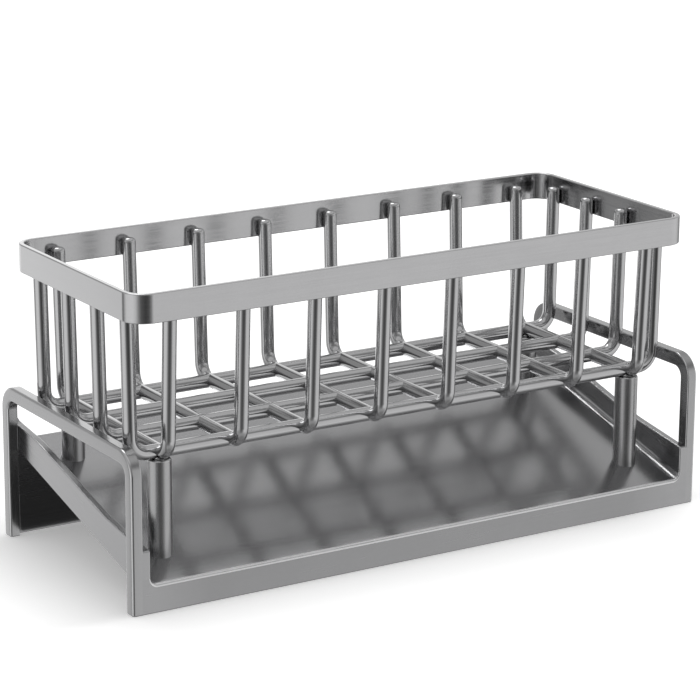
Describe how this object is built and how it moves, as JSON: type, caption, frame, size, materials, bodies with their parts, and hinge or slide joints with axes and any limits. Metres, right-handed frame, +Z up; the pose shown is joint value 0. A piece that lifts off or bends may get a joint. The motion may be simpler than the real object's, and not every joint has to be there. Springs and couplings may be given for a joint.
{
  "type": "kitchen sink caddy",
  "caption": "Long wire basket with a flat rim band, which lifts off a sloped drain tray that stands on two arched side frames.",
  "frame": {"origin": "middle of the base's footprint, on the surface it stands on", "axes": "+X along the caddy's length to the right, +Y from the low front edge of the tray to the rear panel, +Z up"},
  "size_m": [0.24, 0.101, 0.1113],
  "materials": {
    "base_frame": "satin gunmetal grey",
    "tray_sheet": "smooth satin gunmetal grey, slightly glossy",
    "post_tube": "satin gunmetal grey",
    "rim_band": "satin gunmetal grey, brushed along its length",
    "basket_wire": "satin gunmetal grey",
    "plug_pin": "satin gunmetal grey"
  },
  "bodies": {
    "base": {"side_frame_left": "base_frame", "side_frame_right": "base_frame", "side_rail_left": "base_frame", "side_rail_right": "base_frame", "drain_tray": "tray_sheet", "front_apron": "base_frame", "rear_panel": "base_frame", "post_front_left": "post_tube", "post_front_right": "post_tube", "post_rear_left": "post_tube", "post_rear_right": "post_tube"},
    "basket": {"rim_band": "rim_band", "long_wire_front": "basket_wire", "long_wire_mid_front": "basket_wire", "long_wire_mid_rear": "basket_wire", "long_wire_rear": "basket_wire", "cross_wire_1": "basket_wire", "cross_wire_2": "basket_wire", "cross_wire_3": "basket_wire", "cross_wire_4": "basket_wire", "cross_wire_5": "basket_wire", "cross_wire_6": "basket_wire", "cross_wire_7": "basket_wire", "cross_wire_8": "basket_wire", "plug_pin_front_left": "plug_pin", "plug_pin_front_right": "plug_pin", "plug_pin_rear_left": "plug_pin", "plug_pin_rear_right": "plug_pin"}
  },
  "joints": [
    {"name": "basket_lift", "type": "slide", "parent": "base", "child": "basket", "axis": [0, 0, 1], "range_m": [0, 0.041]}
  ]
}
